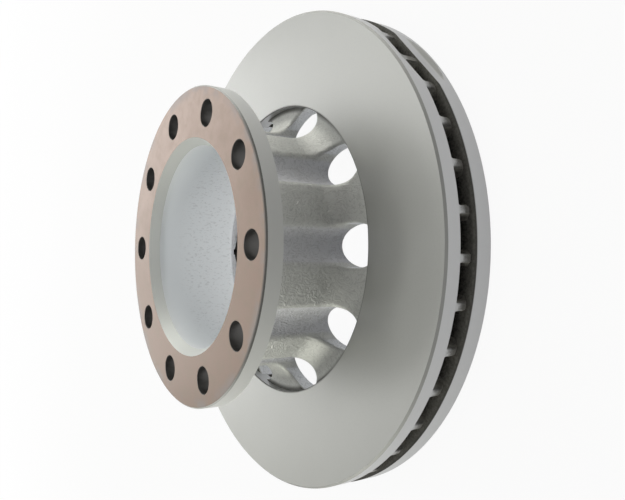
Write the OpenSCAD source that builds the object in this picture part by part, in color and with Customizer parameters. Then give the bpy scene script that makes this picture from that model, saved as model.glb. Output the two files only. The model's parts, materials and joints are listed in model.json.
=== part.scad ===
// Ventilated brake disc, cast in one piece: two friction plates joined by vanes, and a deep fluted
// hat that carries the mounting flange. Z is the axis of rotation. The disc lies on its inboard
// friction face at z = 0, with the mounting face up, and the bolt hole at angle 0 lies on +X.

/* [Friction plates] */
// Outside diameter of both friction plates
disc_d = 390; // [370:1:430]
// Distance between the two friction faces
disc_t = 40.5; // [39:0.5:50]
// Thickness of the outboard plate, which carries the hat
outboard_t = 12; // [9:0.5:13]
// Thickness of the inboard plate
inboard_t = 13.8; // [10:0.1:15]
// Bore of the outboard plate
outboard_bore_d = 239; // [236:0.5:244]
// Bore of the inboard plate
inboard_bore_d = 244; // [238:1:260]
// Chamfer on the outer edge of the friction faces
face_chamfer = 1; // [0.4:0.1:2]

/* [Vanes] */
// Number of vanes between the plates
vane_count = 40; // [24:1:48]
// Thickness of a vane
vane_t = 5.4; // [4:0.2:7]
// Angle of the first vane from the +X axis
vane_angle = -2.25; // [-5:0.25:5]
// Distance of a vane's outer end from the rim, at the outboard plate
vane_inset = 0.4; // [0.2:0.1:4]
// Height of the part of a vane's outer end that is flush with the rim, from the outboard plate
vane_flush = 6; // [4:0.5:8]
// Radius in which the rest of that end curves back towards the inboard plate
vane_end_r = 9; // [9:0.5:14]
// Radial length over which a vane is drawn to a point at its inner end
vane_nose = 9; // [4:0.5:16]

/* [Hat] */
// Height of the mounting face above the inboard friction face
hat_h = 124.2; // [105:0.2:140]
// Diameter across the ridges of the neck
neck_d = 193; // [190:1:198]
// Radius of the flare between the neck and the web
flare_r = 24; // [20:0.5:26]
// Depth of the web below the outboard friction face
web_drop = 5.5; // [3:0.5:8]
// Slope of the inside of the flare, from the horizontal
cone_angle = 31.5; // [27:0.5:35]
// Height of the lowest edge of the hat above the inboard friction face
root_h = 21.3; // [20:0.1:24]
// Width of the flat ring at that edge
root_w = 3; // [1:0.5:5]
// Chamfer where the bore meets the inside of the flare, along each of the two
throat_chamfer = 4; // [2:0.5:6]

/* [Flutes] */
// Diameter of the flute behind each bolt hole, which clears the wheel nut
flute_d = 32.4; // [29:0.2:33]
// Turn of the cast flutes against the drilled holes
flute_turn = 0.8; // [-2:0.1:2]
// Rounding along the edges of the ridges that stand between the flutes
ridge_r = 4; // [2:0.25:5]
// Angle that is left where this rounding meets the faces beside it
ridge_blend = 10; // [6:1:20]

/* [Mounting flange] */
// Outside diameter of the flange
flange_d = 247.6; // [244:0.2:260]
// Thickness of the flange
flange_t = 12.4; // [9:0.2:18]
// Chamfer around the mounting face
flange_chamfer = 1; // [0.4:0.1:2]
// Pilot bore through the hat
pilot_d = 159; // [152:1:164]
// Width of the lead-in chamfer of the pilot bore
lead_w = 5.1; // [2:0.1:7]
// Depth of that lead-in
lead_h = 8; // [4:0.5:12]
// Number of bolt holes, and of flutes
bolt_count = 10; // [6:1:10]
// Diameter of the circle through the bolt holes
bolt_circle_d = 207.8; // [204:0.2:212]
// Diameter of a bolt hole
bolt_d = 20.4; // [14:0.2:22]

/* [Balance cut] */
// Angle of the middle of the cut
balance_angle = 44; // [0:1:360]
// Depth of the cut below the rim
balance_depth = 2.8; // [0.5:0.1:5]
// Rim left whole on each side of the cut
balance_land = 2; // [1:0.1:6]
// Corner radius of the cutter
balance_corner_r = 6; // [1:0.5:10]

/* [Hidden] */
$fn = 96;
round_fn = 240; // segments of the large diameters
eps = 0.5;      // how far one form runs into or past another

disc_r = disc_d / 2;
neck_r = neck_d / 2;
pilot_r = pilot_d / 2;
flange_r = flange_d / 2;
bolt_circle_r = bolt_circle_d / 2;
outboard_bore_r = outboard_bore_d / 2;
inboard_bore_r = inboard_bore_d / 2;
outboard_z = disc_t - outboard_t;
flange_z = hat_h - flange_t;
web_z = disc_t - web_drop;
bolt_step = 360 / bolt_count;

// The web runs under the outboard plate by this much, so that the two are one piece
web_lap = 4;
// The line of the inside of the flare ends at this radius, where the flat ring starts
root_r = outboard_bore_r - root_w;
// Height at which the bore would meet the inside of the flare without the chamfer
throat_z = root_h + (root_r - pilot_r) * tan(cone_angle);

// Half section of one friction plate, with its friction face down at y = 0
module plate_section(bore_r, t) {
    polygon([
        [bore_r, 0],
        [disc_r - face_chamfer, 0],
        [disc_r, face_chamfer],
        [disc_r, t],
        [bore_r, t]
    ]);
}

module friction_plates() {
    rotate_extrude($fn = round_fn) plate_section(inboard_bore_r, inboard_t);
    translate([0, 0, disc_t]) mirror([0, 0, 1])
        rotate_extrude($fn = round_fn) plate_section(outboard_bore_r, outboard_t);
}

// Plan of one vane along +X, from its pointed nose at the bore to the rim
module vane_plan() {
    nose_x = inboard_bore_r + eps;
    polygon([
        [nose_x, 0],
        [nose_x + vane_nose, vane_t / 2],
        [disc_r, vane_t / 2],
        [disc_r, -vane_t / 2],
        [nose_x + vane_nose, -vane_t / 2]
    ]);
}

// Side view of one vane: its outer end is flush with the rim at the outboard plate, then curves back
module vane_side() {
    tip = disc_r - vane_inset;
    flush_z = outboard_z - vane_flush;
    low = inboard_t - eps;
    high = outboard_z + eps;
    intersection() {
        union() {
            translate([pilot_r, low]) square([tip - vane_end_r - pilot_r, high - low]);
            translate([pilot_r, flush_z]) square([tip - pilot_r, high - flush_z]);
            translate([tip - vane_end_r, flush_z]) circle(r = vane_end_r);
        }
        translate([pilot_r, low]) square([disc_r, high - low]);
    }
}

module vanes() {
    for (i = [0:vane_count - 1]) rotate([0, 0, vane_angle + i * 360 / vane_count])
        intersection() {
            linear_extrude(height = disc_t) vane_plan();
            rotate([90, 0, 0]) linear_extrude(height = 2 * vane_t, center = true) vane_side();
        }
}

// Half section of the outside of the neck and flare, closed to the axis, up into the flange
module neck_section() {
    difference() {
        polygon([
            [0, root_h],
            [outboard_bore_r, root_h],
            [outboard_bore_r, outboard_z],
            [outboard_bore_r + web_lap, outboard_z],
            [outboard_bore_r + web_lap, web_z],
            [neck_r + flare_r, web_z],
            [neck_r + flare_r, web_z + flare_r],
            [neck_r, web_z + flare_r],
            [neck_r, flange_z + flange_t / 2],
            [0, flange_z + flange_t / 2]
        ]);
        translate([neck_r + flare_r, web_z + flare_r]) circle(r = flare_r);
    }
}

module flange_section() {
    polygon([
        [0, flange_z],
        [flange_r, flange_z],
        [flange_r, hat_h - flange_chamfer],
        [flange_r - flange_chamfer, hat_h],
        [0, hat_h]
    ]);
}

// Half section of the space inside the hat: lead-in, pilot bore, chamfered throat and flared root
module inside_section() {
    polygon([
        [0, root_h - eps],
        [root_r + eps / tan(cone_angle), root_h - eps],
        [pilot_r + throat_chamfer * cos(cone_angle), throat_z - throat_chamfer * sin(cone_angle)],
        [pilot_r, throat_z + throat_chamfer],
        [pilot_r, hat_h - lead_h],
        [pilot_r + lead_w, hat_h],
        [pilot_r + lead_w, hat_h + eps],
        [0, hat_h + eps]
    ]);
}

// Clearance for one wheel nut: it hollows the neck and opens a window where it meets the flare
module flute() {
    translate([bolt_circle_r, 0, root_h - eps]) cylinder(d = flute_d, h = hat_h - root_h);
}

// Plan of what the rounding takes off one edge of a flute
module ridge_corner() {
    flute_r = flute_d / 2;
    reach = sqrt(pow(neck_r, 2) + pow(ridge_r, 2) - 2 * neck_r * ridge_r * cos(ridge_blend));
    span = sqrt(pow(flute_r, 2) + pow(ridge_r, 2) + 2 * flute_r * ridge_r * cos(ridge_blend));
    turn = acos((pow(reach, 2) + pow(bolt_circle_r, 2) - pow(span, 2)) / (2 * reach * bolt_circle_r));
    middle = [reach * cos(turn), reach * sin(turn)];
    in_flute = [bolt_circle_r, 0] + (middle - [bolt_circle_r, 0]) * (flute_r - ridge_r) / span;
    past_neck = middle * (neck_r + ridge_r) / reach;
    difference() {
        polygon([middle, in_flute, in_flute + (past_neck - middle) / 2, past_neck]);
        translate(middle) circle(r = ridge_r);
    }
}

// Half section of the height over which it is taken off: it runs out where the flare starts
module ridge_run() {
    depth = ridge_r / 2;
    low = web_z + flare_r;
    polygon([
        [neck_r - depth, low + 3 * depth],
        [neck_r + ridge_r, low - 6 * depth],
        [neck_r + ridge_r, hat_h],
        [neck_r - depth, hat_h]
    ]);
}

module ridge_roundings() {
    intersection() {
        linear_extrude(height = hat_h)
            for (i = [0:bolt_count - 1]) rotate(i * bolt_step + flute_turn) {
                ridge_corner();
                mirror([0, 1]) ridge_corner();
            }
        rotate_extrude($fn = round_fn) ridge_run();
    }
}

module bolt_hole() {
    translate([bolt_circle_r, 0, flange_z - eps]) cylinder(d = bolt_d, h = flange_t + 2 * eps);
}

module hat() {
    difference() {
        union() {
            difference() {
                rotate_extrude($fn = round_fn) neck_section();
                for (i = [0:bolt_count - 1]) rotate([0, 0, i * bolt_step + flute_turn]) flute();
                ridge_roundings();
            }
            rotate_extrude($fn = round_fn) flange_section();
        }
        rotate_extrude($fn = round_fn) inside_section();
        for (i = [0:bolt_count - 1]) rotate([0, 0, i * bolt_step]) bolt_hole();
    }
}

// Section of the milling cut across the rim: flat floor, rounded corners
module balance_section() {
    corner = balance_corner_r;
    low = balance_land + corner;
    high = disc_t - balance_land - corner;
    translate([corner, low - corner]) square([4 * corner, high - low + 2 * corner]);
    translate([0, low]) square([5 * corner, high - low]);
    for (z = [low, high]) translate([corner, z]) circle(r = corner);
}

module balance_cut() {
    rotate([0, 0, balance_angle]) translate([disc_r - balance_depth, 0, 0])
        rotate([90, 0, 0]) linear_extrude(height = disc_r, center = true) balance_section();
}

module brake_disc() {
    color("silver") difference() {
        union() {
            friction_plates();
            vanes();
            hat();
        }
        balance_cut();
    }
}

brake_disc();
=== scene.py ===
import json
from collections import namedtuple
from math import acos, asin, atan2, cos, hypot, inf, pi, radians, sin, sqrt, tan

import bmesh
import bpy
from bpy.props import FloatProperty, FloatVectorProperty, IntProperty, PointerProperty
from bpy.types import Operator, Panel, PropertyGroup
from mathutils import Matrix, Vector


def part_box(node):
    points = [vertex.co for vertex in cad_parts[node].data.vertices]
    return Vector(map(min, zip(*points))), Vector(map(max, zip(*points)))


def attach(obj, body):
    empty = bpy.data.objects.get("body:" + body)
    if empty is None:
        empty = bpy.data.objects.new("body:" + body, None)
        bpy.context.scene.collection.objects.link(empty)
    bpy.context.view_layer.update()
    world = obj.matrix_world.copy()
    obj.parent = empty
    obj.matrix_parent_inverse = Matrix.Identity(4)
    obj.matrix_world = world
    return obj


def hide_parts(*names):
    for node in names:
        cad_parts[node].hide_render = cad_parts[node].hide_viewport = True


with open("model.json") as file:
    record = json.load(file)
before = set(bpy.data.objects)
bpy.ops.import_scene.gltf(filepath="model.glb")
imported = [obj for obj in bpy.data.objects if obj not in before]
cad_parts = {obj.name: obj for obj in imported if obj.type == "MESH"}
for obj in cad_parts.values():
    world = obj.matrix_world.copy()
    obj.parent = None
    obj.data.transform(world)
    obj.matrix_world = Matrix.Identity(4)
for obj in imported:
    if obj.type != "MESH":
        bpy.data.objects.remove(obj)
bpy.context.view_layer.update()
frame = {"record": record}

MOUNTS = {mount["name"]: mount for mount in frame["record"]["mounts"]}
PILOT = MOUNTS["pilot_bore"]["dims"]["r_mm"] * 0.002
BOLTS = MOUNTS["wheel_bolts"]["dims"]
LOW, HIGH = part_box("brake_disc")

# Points closer than this become one, in a piece and between the copies of a ring
WELD = 2e-6
RING_WELD = 4e-6
# Edges shorter than this are dissolved
SLIVER = 1e-7
# Steps around a friction plate
RING_STEPS = 720
# Turning marks, as waves of noise per metre of radius
TURNING_MARKS = 2200.0
# Depth in metres of the finest marks on a turned face
TURNING_DEPTH = 0.00001
# The coating's gloss, where nothing changes it
COAT_ROUGHNESS = 0.42
COAT_METALLIC = 0.75

bl_info = {
    "name": "Ventilated brake disc",
    "version": (1, 0, 0),
    "blender": (4, 5, 0),
    "location": "View3D > Sidebar > Brake disc",
    "description": "Builds a ventilated brake disc with a fluted hat, and the stage it stands on",
    "category": "Add Mesh",
}


def length(name, description, default):
    return FloatProperty(name=name, description=description, default=default, min=0.0,
                         precision=5, subtype="DISTANCE", unit="LENGTH")


def angle(name, description, default):
    return FloatProperty(name=name, description=description, default=radians(default),
                         subtype="ANGLE", unit="ROTATION")


def colour(name, description, default):
    return FloatVectorProperty(name=name, description=description, default=default, size=3,
                               min=0.0, max=1.0, subtype="COLOR")


def power(name, description, default):
    return FloatProperty(name=name, description=description, default=default, min=0.0,
                         subtype="POWER", unit="POWER")


def number(name, description, default):
    return IntProperty(name=name, description=description, default=default, min=3)


class PlateSizes(PropertyGroup):
    diameter: length("Diameter", "Outside diameter of both friction plates", HIGH[0] - LOW[0])
    thickness: length("Thickness", "Over both friction faces", 0.0405)
    outboard: length("Outboard plate", "Thickness of the plate on the flange side", 0.012)
    inboard: length("Inboard plate", "Thickness of the plate on the far side", 0.0138)
    outboard_bore: length("Outboard bore", "Diameter at which the outboard plate meets the web", 0.239)
    inboard_bore: length("Inboard bore", "Open diameter of the inboard plate", 0.244)
    chamfer: length("Chamfer", "Broken outer edge of the outboard friction face", 0.0015)
    far_chamfer: length("Inboard chamfer", "Broken outer edge of the inboard friction face", 0.001)
    bore_edge: length("Bore edge", "Broken edge of the plates' bores", 0.0006)
    cut_angle: angle("Balance cut", "Where the rim is milled to balance the disc", 44)
    cut_depth: length("Cut depth", "Depth of the balance cut at its middle", 0.0028)
    cut_land: length("Cut land", "Rim left standing on each side of the cut", 0.002)
    cut_corner: length("Cut corner", "Corner radius of the milling cutter", 0.006)

    def vent(self):
        """Heights between which the vents lie."""
        return self.inboard, self.thickness - self.outboard


class VaneSizes(PropertyGroup):
    count: number("Vanes", "Number of vanes between the plates", 40)
    thickness: length("Thickness", "Wall of one vane", 0.0054)
    first: angle("First vane", "Angle of the first vane", -2.25)
    inset: length("Inset", "Vane ends stand back from the rim by this much", 0.0004)
    flush: length("Flush part", "Height of the outer end that is flush with the rim", 0.006)
    end_radius: length("End radius", "Radius in which the rest of the end curves back", 0.009)
    nose: length("Nose", "Length of the pointed inner end", 0.009)
    fillet: length("Fillet", "Cast rounding between a vane and the plates", 0.0026)


class HatSizes(PropertyGroup):
    neck: length("Neck", "Outside diameter of the neck over its ridges", 0.193)
    flare: length("Flare", "Radius in which the neck spreads into the web", 0.024)
    web: length("Web", "Height of the web's outer face over the inboard face", 0.035)
    root: length("Root", "Height of the flat ring at the foot of the hat", 0.0213)
    root_width: length("Root width", "Width of that flat ring", 0.003)
    cone: angle("Inner cone", "Slope of the inside of the flare", 31.5)
    throat: length("Throat", "Rounding between the inner cone and the pilot bore", 0.008)
    flute: length("Flute", "Diameter of the nut clearance flutes", 0.0324)
    flute_turn: angle("Flute turn", "Turn of the cast flutes against the bolt holes", 0.8)
    rounding: length("Rounding", "Cast rounding along the ridges", 0.0036)
    relief: length("Skin relief", "Most that the sand-cast skin moves from the true shape", 0.0005)


class FlangeSizes(PropertyGroup):
    diameter: length("Diameter", "Outside diameter of the mounting flange", 0.2476)
    thickness: length("Thickness", "Thickness of the mounting flange", 0.0124)
    pilot: length("Pilot bore", "Diameter that centres the disc on its hub", PILOT)
    lead_width: length("Lead-in width", "Radial width of the chamfer into the pilot bore", 0.0051)
    lead_height: length("Lead-in height", "Depth of the chamfer into the pilot bore", 0.008)
    bolt_count: number("Bolt holes", "Number of bolt holes, and of flutes in the neck", BOLTS["count"])
    bolt_circle: length("Bolt circle", "Diameter of the bolt circle", BOLTS["pcd_mm"] * 0.001)
    bolt_hole: length("Bolt hole", "Diameter of one bolt hole", BOLTS["hole_r_mm"] * 0.002)
    chamfer: length("Chamfer", "Broken outer edge of the mounting face", 0.001)
    hole_edge: length("Hole edge", "Broken edge of the bolt holes", 0.0003)


class FinishColours(PropertyGroup):
    coat: colour("Coating", "Silver-grey protective coating", (0.50, 0.505, 0.49))
    # Painted light: a lighter copy of the coating on upright rims, standing in for more light on them; the
    # spray on the vane ends uses it too
    wall: colour("Rims", "The same coating on the rims of the plates", (0.58, 0.585, 0.592))
    cast: colour("Cast skin", "The same coating, lying thicker on the cast hat", (0.62, 0.627, 0.605))
    # Painted light: a lighter, bluer copy of the coating that stands in for the light and tint the flutes
    # catch
    hollow: colour("Flutes", "Cooler coating in the flutes between the ridges", (0.74, 0.745, 0.775))
    # Painted light: the near-white bore colour stands in for light falling into the bore from behind
    bore: colour("Bore", "Pale dry coating of the pilot bore", (0.93, 0.955, 0.97))
    lead: colour("Lead-in", "Coating of the chamfer into the pilot bore", (0.64, 0.655, 0.635))
    rim: colour("Flange rim", "Thin coating of the flange's turned rim", (0.69, 0.698, 0.685))
    bare: colour("Bare casting", "Uncoated iron inside the vents", (0.38, 0.37, 0.34))
    # Partly painted shade: this dark colour stands in for shade deep in the vents, in corners and on broken
    # edges; in the vents it is also the dark uncoated iron
    soot_and_shade: colour("Burnt sand", "Darker iron deep in the vents and on the outboard side", (0.07, 0.068, 0.062))
    copper: colour("Copper film", "Brownish pink film on the mounting face", (0.36, 0.277, 0.235))
    # Partly painted shade: the darker brown laid over the stain on the -Y side of the face
    shaded_stain: colour("Worn film", "The same film where it lies thick and brown", (0.23, 0.166, 0.131))
    blot: colour("Blots", "Blots in the stain where it is thick", (0.2, 0.165, 0.12))
    dull: colour("Dulled edge", "Greyer stain towards the outer edge of the face", (0.2, 0.205, 0.212))
    hole: colour("Holes", "Dark drilled iron of the bolt holes", (0.14, 0.136, 0.132))
    # Painted shade: darkens the pores and creases of the cast skin and the plates' broken edges
    pore_and_edge_shade: colour("Pits", "Shade in the pores of the cast skin", (0.2, 0.2, 0.2))


class StageSettings(PropertyGroup):
    floor: colour("Floor", "Colour of the floor", (0.7, 0.7, 0.7))
    distance: length("Lamp distance", "From the disc to every lamp", 1.6)
    back: power("Back light", "Power of the wide lamp beyond the disc", 6.4)
    low_back: power("Low back light", "Power of the lamp below it", 4.3)
    left_strip: power("Left strip", "Power of the low lamp at the back on the left", 8.2)
    right_strip: power("Right strip", "Power of the low lamp at the back on the right", 1.6)
    left: power("Left light", "Power of the lamp on the left", 4.8)
    right: power("Right light", "Power of the lamp on the right", 10.8)
    front: power("Front light", "Power of the small lamp in front", 1.5)
    top: power("Top light", "Power of the lamp over the mounting face", 11.5)


SETTINGS = {
    "disc_plates": PlateSizes,
    "disc_vanes": VaneSizes,
    "disc_hat": HatSizes,
    "disc_flange": FlangeSizes,
    "disc_finish": FinishColours,
    "disc_stage": StageSettings,
}


class Value:
    """A socket that takes part in an expression as a number does."""

    def __init__(self, board, socket):
        self.board = board
        self.socket = socket

    def maths(self, operation, first, second=0.0):
        return self.board.node("ShaderNodeMath", {"operation": operation}, {0: first, 1: second})

    def __add__(self, other):
        return self.maths("ADD", self, other)

    def __sub__(self, other):
        return self.maths("SUBTRACT", self, other)

    def __rsub__(self, other):
        return self.maths("SUBTRACT", other, self)

    def __mul__(self, other):
        return self.maths("MULTIPLY", self, other)

    def __truediv__(self, other):
        return self.maths("DIVIDE", self, other)

    def __rtruediv__(self, other):
        return self.maths("DIVIDE", other, self)

    def __pow__(self, other):
        return self.maths("POWER", self, other)

    __radd__ = __add__
    __rmul__ = __mul__

    def __abs__(self):
        return self.maths("ABSOLUTE", self)

    def at_least(self, other):
        return self.maths("MAXIMUM", self, other)

    def above(self, edge, width):
        """0 below the edge, 1 above it, over a soft step of this width."""
        return self.board.node("ShaderNodeMapRange", {"interpolation_type": "SMOOTHSTEP"}, {
            "Value": self, "From Min": edge - width / 2, "From Max": edge + width / 2})

    def below(self, edge, width):
        """1 below the edge, 0 above it, over a soft step of this width."""
        return 1 - self.above(edge, width)


class Board:
    """A node tree on which nodes are laid and wired."""

    def __init__(self, tree):
        self.tree = tree

    def node(self, kind, settings=None, inputs=None, out=0):
        """Lays a node, sets its settings, then sets or wires its sockets. Returns one of its outputs."""
        node = self.tree.nodes.new(kind)
        for key, value in (settings or {}).items():
            setattr(node, key, value)
        for key, value in (inputs or {}).items():
            if isinstance(value, Value):
                self.tree.links.new(value.socket, node.inputs[key])
            else:
                node.inputs[key].default_value = value
        return Value(self, node.outputs[out]) if len(node.outputs) else None

    def parts(self, vector):
        """The three numbers that a vector is made of."""
        split = self.node("ShaderNodeSeparateXYZ", None, {0: vector}).socket.node
        return [Value(self, output) for output in split.outputs]

    def mix(self, factor, first, second):
        """Blends two colours, each a triple or a socket."""
        pair = [c if isinstance(c, Value) else (*c, 1) for c in (first, second)]
        return self.node("ShaderNodeMix", {"data_type": "RGBA"}, {0: factor, 6: pair[0], 7: pair[1]}, out=2)

    def background(self, straight, mirrored):
        """How much of the white shows: straight to the camera, and mirrored in metal or glass."""
        path = self.node("ShaderNodeLightPath").socket.node
        shown = Value(self, path.outputs["Is Camera Ray"]) * straight
        for name in ("Is Glossy Ray", "Is Transmission Ray"):
            shown = shown.at_least(Value(self, path.outputs[name]) * mirrored)
        return shown


class Finish(Board):
    """A material on Object coordinates, with each point's place, radius and upward facing at hand."""

    def __init__(self, name):
        self.material = bpy.data.materials.new(name)
        self.material.use_nodes = True
        super().__init__(self.material.node_tree)
        self.shader = next(n for n in self.tree.nodes if n.type == "BSDF_PRINCIPLED")
        self.place = self.node("ShaderNodeTexCoord", out="Object")
        self.x, self.y, self.z = self.parts(self.place)
        self.radius = (self.x * self.x + self.y * self.y) ** 0.5
        self.facing = self.parts(self.node("ShaderNodeNewGeometry", out="Normal"))[2]

    def noise(self, grain, detail=3.0, roughness=0.55, stretch=None, distortion=0.0):
        """Noise with features about one grain wide."""
        place = self.place
        if stretch:
            place = self.node("ShaderNodeMapping", None, {"Vector": place, "Scale": stretch})
        return self.node("ShaderNodeTexNoise", None, {
            "Vector": place, "Scale": 1 / grain, "Detail": detail, "Roughness": roughness,
            "Distortion": distortion})

    def bare_grain(self):
        """Darker grains in the uncoated iron of the vents."""
        return self.noise(0.0016, roughness=0.7).above(0.5, 0.25)

    def turning_marks(self):
        """Fine rings that the turning tool leaves."""
        return self.node("ShaderNodeTexNoise", {"noise_dimensions": "1D"},
                         {"W": self.radius * TURNING_MARKS, "Scale": 1.0, "Detail": 2.0})

    def broken_edge(self, up):
        """Edges that lean between lying and upright, by how far they face up."""
        return up.above(0.4, 0.2) * up.below(0.95, 0.06)

    def wear(self, value, socket):
        """Feeds a socket of the shader with what changes over the surface."""
        self.tree.links.new(value.socket, self.shader.inputs[socket])

    def relief(self, height, depth):
        """Raises the surface by height times depth, in metres."""
        bump = self.node("ShaderNodeBump", None, {"Height": height * depth, "Distance": 1.0}, out="Normal")
        self.wear(bump, "Normal")


class Skin:
    """Gathers the patches of one piece; patches that share an edge join when their doubles are merged."""

    def __init__(self):
        self.points = []
        self.faces = []

    def sheet(self, rows, mask=0.0):
        """A grid of quads over rows of points. The mask says how rough the cast skin is there."""
        base = len(self.points)
        width = len(rows[0])
        for row in rows:
            self.points.extend((*point, mask) for point in row)
        for i in range(len(rows) - 1):
            for j in range(width - 1):
                a = base + i * width + j
                self.faces.append((a, a + width, a + width + 1, a + 1))

    def mirrored(self):
        """Adds the same patches on the other side of the plane Y = 0."""
        base = len(self.points)
        self.points.extend([(x, -y, z, mask) for x, y, z, mask in self.points])
        self.faces.extend([tuple(base + i for i in reversed(face)) for face in list(self.faces)])

    def mesh(self, name):
        """The welded mesh, with the mask as its attribute cast."""
        mesh = bpy.data.meshes.new(name)
        mesh.from_pydata([point[:3] for point in self.points], [], self.faces)
        rough = mesh.attributes.new("cast", "FLOAT", "POINT")
        rough.data.foreach_set("value", [point[3] for point in self.points])
        weld(mesh)
        return mesh


def weld(mesh, outward=False):
    """Joins doubles, drops faces without area and, if asked, turns the faces outwards."""
    shape = bmesh.new()
    shape.from_mesh(mesh)
    bmesh.ops.remove_doubles(shape, verts=shape.verts, dist=WELD)
    bmesh.ops.dissolve_degenerate(shape, edges=shape.edges, dist=SLIVER)
    if outward:
        bmesh.ops.recalc_face_normals(shape, faces=shape.faces)
    shape.to_mesh(mesh)
    shape.free()


def around(radius, turn, height):
    """The point at this radius, angle and height."""
    return (radius * cos(turn), radius * sin(turn), height)


def spread(start, end, count):
    """Evenly spaced values from start to end, both included."""
    return [start + (end - start) * i / count for i in range(count + 1)]


def between(first, last, count):
    """Points on the straight line between two points, both included."""
    return [tuple(a + (b - a) * i / count for a, b in zip(first, last)) for i in range(count + 1)]


def finished(mesh, name, material, smooth_angle):
    """Turns a mesh into a finished piece of the disc, shaded smooth up to an angle in degrees."""
    weld(mesh, outward=True)
    mesh.shade_smooth()
    mesh.set_sharp_from_angle(angle=radians(smooth_angle))
    mesh.materials.clear()
    mesh.materials.append(material)
    mesh.name = name
    piece = bpy.data.objects.new(name, mesh)
    bpy.context.scene.collection.objects.link(piece)
    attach(piece, "root")
    return piece


def round_repeat(name, finish):
    """A tree that repeats its mesh around Z. finish adds what comes after the copies are made real."""
    tree = bpy.data.node_groups.new(name, "GeometryNodeTree")
    side = tree.interface.new_socket
    side("Geometry", in_out="INPUT", socket_type="NodeSocketGeometry")
    side("Count", in_out="INPUT", socket_type="NodeSocketInt")
    side("First angle", in_out="INPUT", socket_type="NodeSocketFloat")
    side("Amount", in_out="INPUT", socket_type="NodeSocketFloat")
    side("Material", in_out="INPUT", socket_type="NodeSocketMaterial")
    side("Geometry", in_out="OUTPUT", socket_type="NodeSocketGeometry")
    board = Board(tree)
    given = tree.nodes.new("NodeGroupInput")
    shape, count, first, amount, material = (Value(board, given.outputs[i]) for i in range(5))
    line = board.node("GeometryNodeMeshLine", None, {"Count": count, "Offset": (0, 0, 0)})
    index = board.node("GeometryNodeInputIndex")
    turn = board.node("FunctionNodeAxisAngleToRotation", None,
                      {"Axis": (0, 0, 1), "Angle": first + index * (2 * pi) / count})
    copies = board.node("GeometryNodeInstanceOnPoints", None,
                        {"Points": line, "Instance": shape, "Rotation": turn})
    solid = board.node("GeometryNodeRealizeInstances", None, {0: copies})
    solid = board.node("GeometryNodeMergeByDistance", None, {"Geometry": solid, "Distance": RING_WELD})
    solid = finish(board, solid, amount)
    solid = board.node("GeometryNodeSetMaterial", None, {"Geometry": solid, "Material": material})
    out = tree.nodes.new("NodeGroupOutput")
    tree.links.new(solid.socket, out.inputs[0])
    return tree


def repeated(mesh, tree, count, first, amount, material):
    """Runs the tree on a mesh and returns the plain mesh that comes out."""
    seed = bpy.data.objects.new("seed", mesh)
    bpy.context.scene.collection.objects.link(seed)
    modifier = seed.modifiers.new("repeat", "NODES")
    modifier.node_group = tree
    values = {"Count": count, "First angle": first, "Amount": amount, "Material": material}
    for item in tree.interface.items_tree:
        if item.in_out == "INPUT" and item.name in values:
            modifier[item.identifier] = values[item.name]
    view = bpy.context.evaluated_depsgraph_get()
    result = bpy.data.meshes.new_from_object(seed.evaluated_get(view))
    bpy.data.objects.remove(seed)
    return result


def turned(profile, steps, limit=None):
    """A closed ring from a closed profile of (radius, height) points. limit caps the radius."""
    skin = Skin()
    rows = []
    for radius, height in profile + profile[:1]:
        row = []
        for i in range(steps + 1):
            turn = 2 * pi * i / steps
            reach = min(radius, limit(turn, height)) if limit else radius
            row.append(around(reach, turn, height))
        rows.append(row)
    skin.sheet(rows)
    return skin.mesh("ring")


def balance_limit(plates):
    """A function that gives the radius which the milled balance cut leaves at an angle and a height."""
    floor = plates.diameter / 2 - plates.cut_depth
    low, high = plates.cut_land, plates.thickness - plates.cut_land
    # The cut ends well within this angle from its middle
    widest = 0.5

    def limit(turn, height):
        off = (turn - plates.cut_angle + pi) % (2 * pi) - pi
        inside = min(height - low, high - height)
        if abs(off) > widest or inside <= 0:
            return inf
        rise = plates.cut_corner - min(inside, plates.cut_corner)
        lift = plates.cut_corner - sqrt(plates.cut_corner ** 2 - rise ** 2)
        return (floor + lift) / cos(off)
    return limit


def plate_profile(plates, bore, face, back):
    """Profile of one friction plate, from the friction face round to the vent side and back."""
    reach = plates.diameter / 2
    side = 1 if face > back else -1
    chamfer = plates.chamfer if side > 0 else plates.far_chamfer
    edge = face - side * chamfer
    rim = [(reach, height) for height in spread(edge, back, 14)]
    lip = face - side * plates.bore_edge
    face_rows = [(radius, face) for radius in spread(bore + plates.bore_edge, reach - chamfer, 6)]
    # Rows that lie close together near the rim
    insets = (0.001, 0.002, 0.003, 0.006, 0.03)
    back_rows = [(reach - inset, back) for inset in insets] + [(bore + 0.02, back)]
    wall = between((bore, back), (bore, lip), 2)
    return face_rows + rim + back_rows + wall


def coated_finish(name, shade):
    """The silver coating over turned or cast iron, in clouds and specks: the finish and its base colour."""
    finish = Finish(name)
    cloud = finish.noise(0.03, 2.0)
    speck = finish.noise(0.0012, 2.0)
    clouded, specked = ([part * share for part in shade] for share in (0.93, 0.75))
    coat = finish.mix(cloud.above(0.5, 0.5) * 0.2, shade, clouded)
    coat = finish.mix(speck.above(0.62, 0.15) * 0.12, coat, specked)
    return finish, coat


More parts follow.
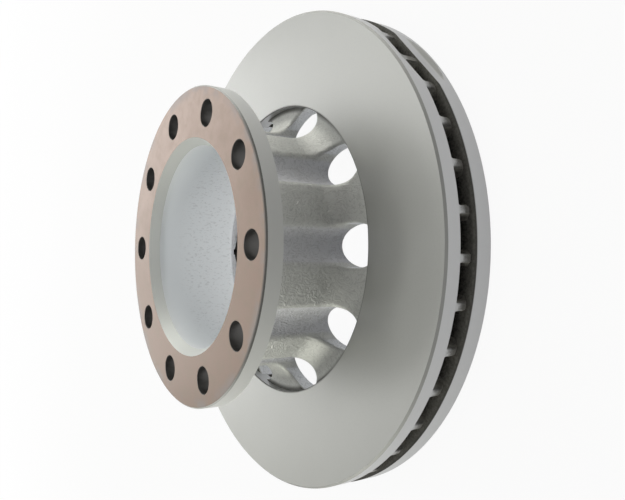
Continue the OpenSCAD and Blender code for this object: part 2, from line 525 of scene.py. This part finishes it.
class DISC_OT_friction_plates(Operator):
    """Turn the two friction plates and mill the balance cut across their rims"""
    bl_idname = "disc.friction_plates"
    bl_label = "Friction plates"

    def execute(self, context):
        plates = context.scene.disc_plates
        limit = balance_limit(plates)
        low, high = plates.vent()
        for name, bore, face, back in (
            ("outboard_plate", plates.outboard_bore / 2, plates.thickness, high),
            ("inboard_plate", plates.inboard_bore / 2, 0.0, low),
        ):
            mesh = turned(plate_profile(plates, bore, face, back), RING_STEPS, limit)
            piece = finished(mesh, name, self.material(context, name, plates), smooth_angle=30)
            if name == "outboard_plate":
                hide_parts("brake_disc")
        return {"FINISHED"}

    def material(self, context, name, plates):
        colours = context.scene.disc_finish
        finish, coat = coated_finish(name + "_coat", colours.coat)
        reach = plates.diameter / 2
        bore = (plates.outboard_bore + plates.inboard_bore) / 4
        low, high = plates.vent()
        middle, half = (low + high) / 2, (high - low) / 2
        off = abs(finish.z - middle)
        tilt = abs(finish.facing)
        # Uncoated sides of the vents
        bare = off.below(half + 0.0003, 0.0004) * finish.radius.below(reach - 0.001, 0.003)
        # Coated rim and bore, painted lighter than the faces: painted light
        wall = tilt.below(0.3, 0.2) * (1 - bare)
        coat = finish.mix(wall, coat, colours.wall)
        # Painted shade on the broken edges, most of all at the bore
        broken = finish.broken_edge(tilt)
        bore_shade = finish.radius.below(bore + 0.003, 0.002)
        edged = finish.mix(broken * (0.5 + bore_shade * 0.35), coat, colours.pore_and_edge_shade)
        # Painted shadow on the lip at the outboard bore, and painted shade on the rim just under the vents
        lip = finish.radius.below(plates.outboard_bore / 2 + 0.0013, 0.0006) * finish.facing.above(0.5, 0.2)
        fringe = off.below(half + 0.0005, 0.0005) * finish.z.below(middle, 0.001)
        edged = finish.mix(lip * 0.4 + fringe * 0.75, edged, colours.soot_and_shade)
        # Uncoated iron, with painted shade that darkens it with depth into the vents
        sunk = finish.radius.below(reach - 0.006, 0.014)
        deep = finish.mix(0.2 + sunk * 0.5 + finish.bare_grain() * 0.3, colours.bare, colours.soot_and_shade)
        finish.wear(finish.mix(bare, edged, deep), "Base Color")
        finish.wear(COAT_ROUGHNESS + bare * 0.45 + broken * 0.15, "Roughness")
        finish.wear(COAT_METALLIC - bare * 0.7 - broken * 0.25 - wall * 0.12, "Metallic")
        finish.relief(finish.turning_marks() + finish.noise(0.002), depth=TURNING_DEPTH)
        return finish.material


class DISC_OT_vanes(Operator):
    """Cast the vanes that join the two friction plates"""
    bl_idname = "disc.vanes"
    bl_label = "Vanes"

    def execute(self, context):
        plates, vanes = context.scene.disc_plates, context.scene.disc_vanes
        low, high = plates.vent()
        overlap = 0.0008
        fillet = vanes.fillet
        rounding = [(fillet * (1 - cos(a)), fillet * (1 - sin(a))) for a in spread(0, pi / 2, 6)]
        levels = [(low - overlap, fillet)]
        levels += [(low + rise, grow) for rise, grow in rounding]
        levels += [(height, 0.0) for height in spread(low + fillet, high - fillet, 14)[1:-1]]
        levels += [(high - rise, grow) for rise, grow in reversed(rounding)]
        levels += [(high + overlap, fillet)]
        rows = [self.outline(plates, vanes, height, grow) for height, grow in levels]
        skin = Skin()
        skin.sheet(rows)
        for row in (rows[0], rows[-1]):
            half = len(row) // 2
            skin.sheet([row[:half + 1], row[half:][::-1]])
        tree = round_repeat("vane_ring", self.mill(plates))
        iron = self.material(context, plates)
        mesh = repeated(skin.mesh("vane"), tree, vanes.count, vanes.first,
                        plates.diameter / 2 - plates.cut_depth, iron)
        finished(mesh, "vanes", iron, smooth_angle=40)
        return {"FINISHED"}

    def outline(self, plates, vanes, height, grow):
        """Plan of one vane at one height, with the fillet's growth on its flanks."""
        # Gap at the bore, corner radius at the rim, part of the end's radius in use, fullness of the nose
        gap, corner, used, fullness = 0.0005, 0.0012, 0.97, 0.62
        _, high = plates.vent()
        drop = min(max(0.0, high - vanes.flush - height), vanes.end_radius * used)
        tip = plates.diameter / 2 - vanes.inset - vanes.end_radius + sqrt(vanes.end_radius ** 2 - drop ** 2)
        nose = plates.inboard_bore / 2 + gap
        half = vanes.thickness / 2 + grow
        shoulder = nose + vanes.nose
        flank = [(x, half) for x in spread(shoulder, tip - corner, 10)]
        upper = [(nose - grow * 0.5, 0.0), ((nose + shoulder) / 2, half * fullness)] + flank
        upper += [(tip - corner * (1 - sin(a)), half - corner * (1 - cos(a)))
                  for a in spread(0, pi / 2, 4)[1:]]
        upper += [(tip, 0.0)]
        lower = [(x, -y) for x, y in upper[-2::-1]]
        return [(x, y, height) for x, y in upper + lower]

    def mill(self, plates):
        """Takes the vane ends down to the floor of the balance cut."""
        across = (cos(plates.cut_angle), sin(plates.cut_angle), 0)

        def cut(board, solid, floor):
            place = board.node("GeometryNodeInputPosition")
            reach = board.node("ShaderNodeVectorMath", {"operation": "DOT_PRODUCT"}, {0: place, 1: across},
                               out="Value")
            proud = (reach - floor).at_least(0.0)
            move = board.node("ShaderNodeVectorMath", {"operation": "SCALE"},
                              {0: across, "Scale": proud * -1.0})
            return board.node("GeometryNodeSetPosition", None, {"Geometry": solid, "Offset": move})
        return cut

    def material(self, context, plates):
        colours = context.scene.disc_finish
        finish = Finish("vane_iron")
        reach = plates.diameter / 2
        _, high = plates.vent()
        end = finish.radius.above(reach - 0.003, 0.004)
        # Spray that reached the vane ends from the outboard side, with an uneven border
        drift = finish.noise(0.003, 4.0, roughness=0.65)
        spray = (finish.z + drift * 0.009).above(high + 0.0004, 0.0075)
        coated = end * (0.02 + spray * 0.9)
        # Ends darkened below it, partly bare iron and partly painted shade where they curve back into the
        # vent, and painted shade that darkens the iron with depth
        sunk = finish.radius.below(reach - 0.019, 0.02)
        dark = end * 0.8 + (1 - end) * (sunk * 0.6 + finish.bare_grain() * 0.4)
        deep = finish.mix(dark, colours.bare, colours.soot_and_shade)
        finish.wear(finish.mix(coated, deep, colours.wall), "Base Color")
        finish.wear(0.87 - coated * 0.4, "Roughness")
        finish.wear(0.05 + coated * 0.6, "Metallic")
        finish.relief(finish.noise(0.0015, 4.0), depth=0.0003)
        return finish.material


class HatShape:
    """The hat's outline worked out for one half sector, from the middle of a flute to that of a ridge."""

    # How far the hat runs into the outboard plate and the flange
    side_overlap = 0.0004
    top_overlap = 0.0005
    # Where a flute crosses the ridge's face at less than this sine, the rounding widens no further
    least_crossing = 0.35

    def __init__(self, hat, plates, flange):
        self.circle = flange.bolt_circle / 2
        self.flute = hat.flute / 2
        self.neck = hat.neck / 2
        self.flare = hat.flare
        self.web = hat.web
        self.root = hat.root
        self.slope = tan(hat.cone)
        self.foot = plates.outboard_bore / 2 - hat.root_width
        self.reach = plates.outboard_bore / 2 + self.side_overlap
        self.bore = flange.pilot / 2
        self.throat = hat.throat
        self.cone = hat.cone
        self.top = HIGH[2] - flange.thickness + self.top_overlap
        self.rounding = hat.rounding
        self.half = pi / flange.bolt_count
        self.throat_x = self.bore + self.throat
        rise = (self.foot - self.throat_x) * sin(self.cone)
        self.throat_z = self.root + (self.throat + rise) / cos(self.cone)

    def meets(self, radius):
        """Angles, about the disc's axis and about the flute's, at which the flute cuts this radius."""
        c, r, f = self.circle, radius, self.flute
        turn = acos(min(1.0, (r * r + c * c - f * f) / (2 * r * c)))
        return turn, acos(max(-1.0, (r * r - c * c - f * f) / (2 * c * f)))

    def wall(self, swing, height):
        """A point on the flute's wall."""
        return (self.circle + self.flute * cos(swing), self.flute * sin(swing), height)

    def underside(self, radius):
        """Height of the inside of the flare."""
        return self.root + max(0.0, self.foot - radius) * self.slope

    def patches(self, flare_rows, neck_rows, face_columns, edge_columns, wall_columns):
        """The ridge's face, its rounded edge, the flute's wall above and below the flare, and the inside."""
        centre_r, centre_z = self.neck + self.flare, self.web + self.flare
        start = asin((centre_r - self.reach) / self.flare)
        rows = [(centre_r - self.flare * sin(a), centre_z - self.flare * cos(a))
                for a in spread(start, pi / 2, flare_rows)]
        rows += [(self.neck, z) for z in spread(centre_z, self.top, neck_rows)[1:]]
        edge = [(*self.meets(radius), radius, height) for radius, height in rows]
        line = [(self.flute * swing, height) for _, swing, _, height in edge]
        face, strip, feet = [], [], []
        for i, (turn, swing, radius, height) in enumerate(edge):
            before, after = line[max(0, i - 1)], line[min(len(line) - 1, i + 1)]
            run, rise = after[0] - before[0], after[1] - before[1]
            if i >= flare_rows:
                run, rise = 0.0, 1.0
            size = hypot(run, rise)
            run, rise = run / size, rise / size
            lean = (radius ** 2 + self.flute ** 2 - self.circle ** 2) / (2 * radius * self.flute)
            along = self.rounding / max(self.least_crossing, sqrt(max(0.0, 1 - lean * lean)))
            out_turn = turn + along / radius
            in_swing = swing + self.rounding * rise / self.flute
            in_height = height - self.rounding * run
            first = Vector(around(radius, out_turn, height))
            sharp = Vector(around(radius, turn, height))
            last = Vector(self.wall(in_swing, in_height))
            strip.append([tuple(first * (1 - t) ** 2 + sharp * 2 * t * (1 - t) + last * t * t)
                          for t in spread(0, 1, edge_columns)])
            face.append([around(radius, a, height) for a in spread(self.half, out_turn, face_columns)])
            feet.append((in_swing, in_height))
        inner_swing, sill = feet[flare_rows]
        swings = spread(inner_swing, pi, wall_columns)
        upper = [[self.wall(s, height) for s in swings] for _, height in feet[flare_rows:]]
        columns = feet[:flare_rows + 1] + [(s, sill) for s in swings[1:]]
        lower = []
        across = face_columns + edge_columns + wall_columns
        under = []
        for swing, height in columns:
            x, y, _ = self.wall(swing, 0)
            radius, turn = hypot(x, y), atan2(y, x)
            base = self.underside(radius)
            lower.append([self.wall(swing, z) for z in spread(base, height, wall_columns)])
            under.append([around(radius, a, base) for a in spread(max(0.0, turn), self.half, across)])
        for radius, height in self.inside_rows():
            under.append([around(radius, a, height) for a in spread(0.0, self.half, across)])
        return face, strip, upper, lower, under

    def inside_rows(self):
        """Profile of the inside, from the flutes' inmost reach over the throat and up the bore."""
        lip_r = self.throat_x - self.throat * sin(self.cone)
        lip_z = self.throat_z - self.throat * cos(self.cone)
        inmost = self.circle - self.flute
        rows = between((inmost, self.underside(inmost)), (lip_r, lip_z), 2)[1:]
        for lean in spread(self.cone, pi / 2, 8)[1:-1]:
            rows.append((self.throat_x - self.throat * sin(lean), self.throat_z - self.throat * cos(lean)))
        return rows + between((self.bore, self.throat_z), (self.bore, self.top), 24)


class DISC_OT_hat(Operator):
    """Cast the neck with its flutes, ridges and windows"""
    bl_idname = "disc.hat"
    bl_label = "Hat"

    def execute(self, context):
        scene = context.scene
        hat, plates, flange = scene.disc_hat, scene.disc_plates, scene.disc_flange
        shape = HatShape(hat, plates, flange)
        face, strip, upper, lower, under = shape.patches(
            flare_rows=24, neck_rows=30, face_columns=7, edge_columns=8, wall_columns=10)
        skin = Skin()
        for rows in (face, strip, upper, lower):
            skin.sheet(rows, 1.0)
        skin.sheet(under)
        rim = upper[-1][::-1] + strip[-1][-2::-1] + face[-1][-2::-1]
        skin.sheet([under[-1], rim])
        foot = lower[0] + strip[0][-2::-1] + face[0][-2::-1]
        skin.sheet([under[0], foot])
        skin.mirrored()
        tree = round_repeat("ridge_ring", self.sand_skin)
        iron = self.material(context, shape)
        mesh = repeated(skin.mesh("sector"), tree, flange.bolt_count, hat.flute_turn, hat.relief, iron)
        finished(mesh, "hat", iron, smooth_angle=40)
        return {"FINISHED"}

    def sand_skin(self, board, solid, amount):
        """Gives the cast faces the uneven skin that the sand mould leaves."""
        waves_per_metre = 130.0
        place = board.node("GeometryNodeInputPosition")
        rough = board.node("GeometryNodeInputNamedAttribute", {"data_type": "FLOAT"}, {"Name": "cast"})
        wave = board.node("ShaderNodeTexNoise", None, {
            "Vector": place, "Scale": waves_per_metre, "Detail": 2.0, "Roughness": 0.5}, out="Color")
        swing = board.node("ShaderNodeVectorMath", {"operation": "SUBTRACT"}, {0: wave, 1: (0.5, 0.5, 0.5)})
        move = board.node("ShaderNodeVectorMath", {"operation": "SCALE"}, {0: swing, "Scale": rough * amount})
        return board.node("GeometryNodeSetPosition", None, {"Geometry": solid, "Offset": move})

    def material(self, context, shape):
        colours = context.scene.disc_finish
        finish, coat = coated_finish("hat_coat", colours.cast)
        inside = finish.radius.below(shape.bore + 0.0006, 0.0006)
        cast = 1 - inside
        # Flutes, between the ridges and where they cut down into the flare, painted lighter and bluer as
        # painted light; the flute walls on the flare near the windows get more painted light from the pale
        # bore colour
        upright = finish.facing.below(0.3, 0.12) * finish.radius.above(shape.neck + 0.004, 0.003)
        hollow = finish.radius.below(shape.neck - 0.002, 0.003) + upright
        coat = finish.mix(hollow, coat, colours.hollow)
        coat = finish.mix(upright * 0.6, coat, colours.bore)
        # Painted shadow where the web meets the outboard plate
        corner_shade = finish.radius.above(shape.reach - 0.0038, 0.004) * finish.facing.above(0.6, 0.3)
        coat = finish.mix(corner_shade * 0.9, coat, colours.soot_and_shade)
        # Painted shade in the pits and creases of the sand-cast skin
        pits = finish.noise(0.0022).above(0.64, 0.2)
        crease = abs(finish.noise(0.0052, 2.0, stretch=(1, 1, 0.8), distortion=1.2) - 0.5)
        skin = finish.mix(pits * 0.12 + crease.below(0.02, 0.06) * 0.3, coat, colours.pore_and_edge_shade)
        # Bore, with open pores in its lower part; its near-white colour is painted light
        dry = finish.z.below(0.094, 0.02) * inside
        pores = finish.noise(0.0016, 2.0, roughness=0.6, stretch=(1, 1, 0.5)).above(0.6, 0.12) * dry
        lining = finish.mix(pores * 0.35, colours.bore, [part * 0.6 for part in colours.bore])
        finish.wear(finish.mix(inside, skin, lining), "Base Color")
        lying = finish.facing.above(0.25, 0.3)
        finish.wear(0.5 + lying * cast * 0.1 - inside * 0.02, "Roughness")
        finish.wear(0.48 + inside * 0.17 - hollow * cast * 0.15, "Metallic")
        grain = finish.noise(0.0009, 2.0)
        height = (crease * 1.6 + grain * 0.3) * cast * (1 - lying * 0.45) + grain * dry * 0.18
        finish.relief(height, depth=0.00082)
        return finish.material


class DISC_OT_mounting_flange(Operator):
    """Turn the mounting flange and drill its bolt holes"""
    bl_idname = "disc.mounting_flange"
    bl_label = "Mounting flange"

    def execute(self, context):
        flange = context.scene.disc_flange
        top, bottom = HIGH[2], HIGH[2] - flange.thickness
        outer, bore = flange.diameter / 2, flange.pilot / 2
        half = pi / flange.bolt_count
        mouth = bore + flange.lead_width
        hole, edge = flange.bolt_hole / 2, flange.hole_edge
        # Faces along the sector's outer edge, its side and its bore
        counts = (16, 9, 12)
        skin = Skin()
        skin.sheet(self.around_hole(flange, outer - flange.chamfer, mouth, hole + edge, half, top, counts))
        skin.sheet(self.around_hole(flange, outer, bore, hole, half, bottom, counts))
        rim_turns = spread(0, half, counts[0])
        skin.sheet([[around(outer - flange.chamfer, a, top) for a in rim_turns],
                    [around(outer, a, top - flange.chamfer) for a in rim_turns]])
        skin.sheet([[around(outer, a, z) for a in rim_turns]
                    for z in spread(top - flange.chamfer, bottom, 3)])
        bore_turns = spread(half, 0, counts[2])
        skin.sheet([[around(mouth, a, top) for a in bore_turns],
                    [around(bore, a, top - flange.lead_height) for a in bore_turns]])
        skin.sheet([[around(bore, a, z) for a in bore_turns]
                    for z in spread(top - flange.lead_height, bottom, 2)])
        drill = [(hole + edge, top)] + [(hole, z) for z in spread(top - edge, bottom, 4)]
        skin.sheet([self.hole_ring(flange, radius, height, sum(counts)) for radius, height in drill])
        skin.mirrored()
        tree = round_repeat("hole_ring", lambda board, solid, amount: solid)
        iron = self.material(context, flange)
        mesh = repeated(skin.mesh("sector"), tree, flange.bolt_count, 0.0, 0.0, iron)
        finished(mesh, "mounting_flange", iron, smooth_angle=30)
        return {"FINISHED"}

    def hole_ring(self, flange, radius, height, count):
        """Half a circle of points around the bolt hole on +X."""
        centre = flange.bolt_circle / 2
        return [(centre + radius * cos(a), radius * sin(a), height) for a in spread(0, pi, count)]

    def around_hole(self, flange, outer, inner, hole, half, height, counts):
        """Rings of points from a bolt hole out to the edges of its half sector."""
        border = [around(outer, a, height) for a in spread(0, half, counts[0])]
        border += [around(r, half, height) for r in spread(outer, inner, counts[1])[1:]]
        border += [around(inner, a, height) for a in spread(half, 0, counts[2])[1:]]
        circle = self.hole_ring(flange, hole, height, sum(counts))
        return [[tuple(a + (b - a) * t for a, b in zip(p, q)) for p, q in zip(circle, border)]
                for t in spread(0, 1, 6)]

    def material(self, context, flange):
        colours = context.scene.disc_finish
        finish, coat = coated_finish("flange_finish", colours.coat)
        top = HIGH[2]
        mouth, edge = flange.pilot / 2 + flange.lead_width, flange.diameter / 2
        # Stain on the mounting face, blotted, and dulled towards its outer edge; it is darker and browner
        # towards -Y, partly stain and partly painted shade
        film = finish.z.above(top - 0.0003, 0.0003) * finish.facing.above(0.9, 0.1)
        stain_and_shade = (finish.x * 0.1 - finish.y * 0.68 + finish.noise(0.03, 4.0) * 0.09).above(0.0, 0.14)
        stain = finish.mix(stain_and_shade, colours.copper, colours.shaded_stain)
        blot = finish.noise(0.009).above(0.55, 0.3)
        stain = finish.mix(blot * 0.35, stain, finish.mix(stain_and_shade, colours.shaded_stain, colours.blot))
        patchy = finish.noise(0.016, 2.0, roughness=0.6).above(0.5, 0.2)
        dulled = patchy * finish.radius.above(edge - 0.006, 0.009)
        stain = finish.mix(dulled * 0.45, stain, colours.dull)
        base = finish.mix(film, coat, stain)
        # Turned rim, and its broken edge with painted shade, most of all on the +X side, where a painted dark
        # line also runs along the face's outer edge
        turned_rim = finish.radius.above(edge - 0.0012, 0.0004) * (1 - film)
        broken = finish.broken_edge(finish.facing) * finish.radius.above(edge - 0.0014, 0.0004)
        shaded_side = (finish.x + finish.noise(0.02) * 0.03).above(0.1, 0.05)
        edge_shade = film * finish.radius.above(edge - 0.0024, 0.0014) * shaded_side
        base = finish.mix(turned_rim, base, colours.rim)
        base = finish.mix(broken * (0.22 + shaded_side * 0.68) + edge_shade * 0.7, base, colours.soot_and_shade)
        # Pilot bore, whose near-white colour is painted light, and its lead-in
        inside = finish.radius.below(mouth - 0.0001, 0.0001) * (1 - film)
        lead = finish.z.above(top - flange.lead_height, 0.0002)
        base = finish.mix(inside, base, finish.mix(lead, colours.bore, colours.lead))
        # Drilled holes
        band = finish.radius.above(mouth + 0.001, 0.001) * finish.radius.below(edge - 0.003, 0.001)
        drilled = band * abs(finish.facing).below(0.82, 0.1)
        finish.wear(finish.mix(drilled, base, colours.hole), "Base Color")
        finish.wear(COAT_ROUGHNESS - film * 0.04 - drilled * 0.07 + inside * 0.12 + broken * 0.3, "Roughness")
        finish.wear(COAT_METALLIC - inside * 0.45 - turned_rim * 0.68, "Metallic")
        finish.relief(finish.turning_marks(), depth=TURNING_DEPTH)
        return finish.material


# Bearing and rise are in degrees, width and height in metres. The stage's setting of this name is the power.
Lamp = namedtuple("Lamp", "name bearing rise wide tall tint")


class DISC_OT_stage(Operator):
    """Set up the white floor, the soft lamps and the camera"""
    bl_idname = "disc.stage"
    bl_label = "Stage"

    lamps = (
        Lamp("back", bearing=162, rise=42, wide=2.2, tall=0.9, tint=(1.0, 1.0, 0.98)),
        Lamp("low_back", bearing=175, rise=20, wide=1.2, tall=0.6, tint=(1.0, 1.0, 1.0)),
        Lamp("left_strip", bearing=115, rise=14, wide=1.0, tall=0.5, tint=(1.0, 1.0, 0.93)),
        Lamp("right_strip", bearing=219, rise=24, wide=1.0, tall=0.5, tint=(1.0, 1.0, 0.93)),
        Lamp("left", bearing=84, rise=10, wide=1.2, tall=0.45, tint=(1.0, 0.98, 0.93)),
        Lamp("right", bearing=272, rise=8.2, wide=1.2, tall=0.45, tint=(1.0, 1.0, 0.9)),
        Lamp("front", bearing=350, rise=50, wide=1.0, tall=0.45, tint=(1.0, 1.0, 1.0)),
        Lamp("top", bearing=0, rise=90, wide=1.2, tall=1.2, tint=(1.0, 1.0, 0.96)),
    )
    # Height of the point that the lamps face
    lamp_aim = 0.06
    # Half the side of the floor
    floor_reach = 40.0
    # The floor's glow, and the distance and width over which it rises to white
    floor_glow, floor_fade, fade_width = 0.93, 1.2, 1.4
    # Share of the white floor and of the white surroundings that metal and glass mirror
    mirrored_floor, mirrored_white = 0.7, 0.2
    # The photograph's camera: place in metres, turns in radians, lens and sensor in millimetres
    eye = (0.472947, -0.010165, 0.324982)
    yaw, pitch, roll = 0.978, 0.017, 0.010
    lens, sensor = 37.284, 36.0

    def execute(self, context):
        stage = context.scene.disc_stage
        self.floor(context, stage)
        self.world(context)
        for lamp in self.lamps:
            self.light(context, stage, lamp)
        self.camera(context)
        context.scene.view_settings.view_transform = "Standard"
        return {"FINISHED"}

    def light(self, context, stage, lamp):
        light = bpy.data.lights.new(lamp.name + "_lamp", "AREA")
        light.shape = "RECTANGLE"
        light.size = lamp.wide
        light.size_y = lamp.tall
        light.energy = getattr(stage, lamp.name)
        light.color = lamp.tint
        bearing, rise = radians(lamp.bearing), radians(lamp.rise)
        holder = bpy.data.objects.new(lamp.name + "_lamp", light)
        holder.location = Vector(around(cos(rise), bearing, sin(rise))) * stage.distance
        towards = Vector((0, 0, self.lamp_aim)) - holder.location
        holder.rotation_euler = towards.to_track_quat("-Z", "Y").to_euler()
        holder.visible_camera = False
        context.scene.collection.objects.link(holder)

    def floor(self, context, stage):
        mesh = bpy.data.meshes.new("floor")
        size = self.floor_reach
        mesh.from_pydata([(-size, -size, 0), (size, -size, 0), (size, size, 0), (-size, size, 0)], [],
                         [(0, 1, 2, 3)])
        floor = bpy.data.objects.new("floor", mesh)
        context.scene.collection.objects.link(floor)
        material = bpy.data.materials.new("floor_white")
        material.use_nodes = True
        board = Board(material.node_tree)
        material.node_tree.nodes.clear()
        place = board.node("ShaderNodeTexCoord", out="Object")
        away = board.node("ShaderNodeVectorMath", {"operation": "LENGTH"}, {0: place}, out="Value")
        rise = away.above(self.floor_fade, self.fade_width) * (1 - self.floor_glow)
        seen = board.background(self.floor_glow + rise, self.mirrored_floor)
        matt = board.node("ShaderNodeBsdfDiffuse", None, {"Color": (*stage.floor, 1)})
        glow = board.node("ShaderNodeEmission", None, {"Color": (1, 1, 1, 1), "Strength": 1.0})
        both = board.node("ShaderNodeMixShader", None, {0: seen, 1: matt, 2: glow})
        board.node("ShaderNodeOutputMaterial", None, {0: both})
        mesh.materials.append(material)

    def world(self, context):
        world = bpy.data.worlds.new("surroundings")
        world.use_nodes = True
        world.node_tree.nodes.clear()
        board = Board(world.node_tree)
        seen = board.background(1.0, self.mirrored_white)
        white = board.node("ShaderNodeBackground", None, {"Color": (1, 1, 1, 1), "Strength": seen})
        board.node("ShaderNodeOutputWorld", None, {0: white})
        context.scene.world = world

    def camera(self, context):
        yaw, pitch, roll = self.yaw, self.pitch, self.roll
        ahead = Vector((-sin(yaw) * cos(pitch), sin(pitch), -cos(yaw) * cos(pitch)))
        right = ahead.cross(Vector((0, 1, 0))).normalized()
        up = right.cross(ahead)
        side = right * cos(roll) + up * sin(roll)
        rise = up * cos(roll) - right * sin(roll)
        optics = bpy.data.cameras.new("camera")
        optics.sensor_width = self.sensor
        optics.lens = self.lens
        optics.clip_start = 0.01
        camera = bpy.data.objects.new("camera", optics)
        turn = Matrix((side, rise, -ahead)).transposed().to_4x4()
        camera.matrix_world = Matrix.Translation(self.eye) @ turn
        context.scene.collection.objects.link(camera)
        context.scene.camera = camera


class DISC_PT_workshop(Panel):
    """Sizes, finishes and steps of the brake disc"""
    bl_idname = "DISC_PT_workshop"
    bl_label = "Brake disc"
    bl_space_type = "VIEW_3D"
    bl_region_type = "UI"
    bl_category = "Brake disc"

    def draw(self, context):
        for name, group in SETTINGS.items():
            box = self.layout.box()
            box.label(text=name.replace("_", " ").capitalize())
            for key in group.__annotations__:
                box.prop(getattr(context.scene, name), key)
        for step in STEPS:
            self.layout.operator(step.bl_idname)


STEPS = (DISC_OT_friction_plates, DISC_OT_vanes, DISC_OT_hat, DISC_OT_mounting_flange, DISC_OT_stage)
CLASSES = (*SETTINGS.values(), *STEPS, DISC_PT_workshop)


def register():
    for each in CLASSES:
        bpy.utils.register_class(each)
    for name, group in SETTINGS.items():
        setattr(bpy.types.Scene, name, PointerProperty(type=group))


def unregister():
    for name in SETTINGS:
        delattr(bpy.types.Scene, name)
    for each in reversed(CLASSES):
        bpy.utils.unregister_class(each)


def main():
    register()
    bpy.ops.disc.friction_plates()
    bpy.ops.disc.vanes()
    bpy.ops.disc.hat()
    bpy.ops.disc.mounting_flange()
    bpy.ops.disc.stage()


if __name__ == "__main__":
    main()
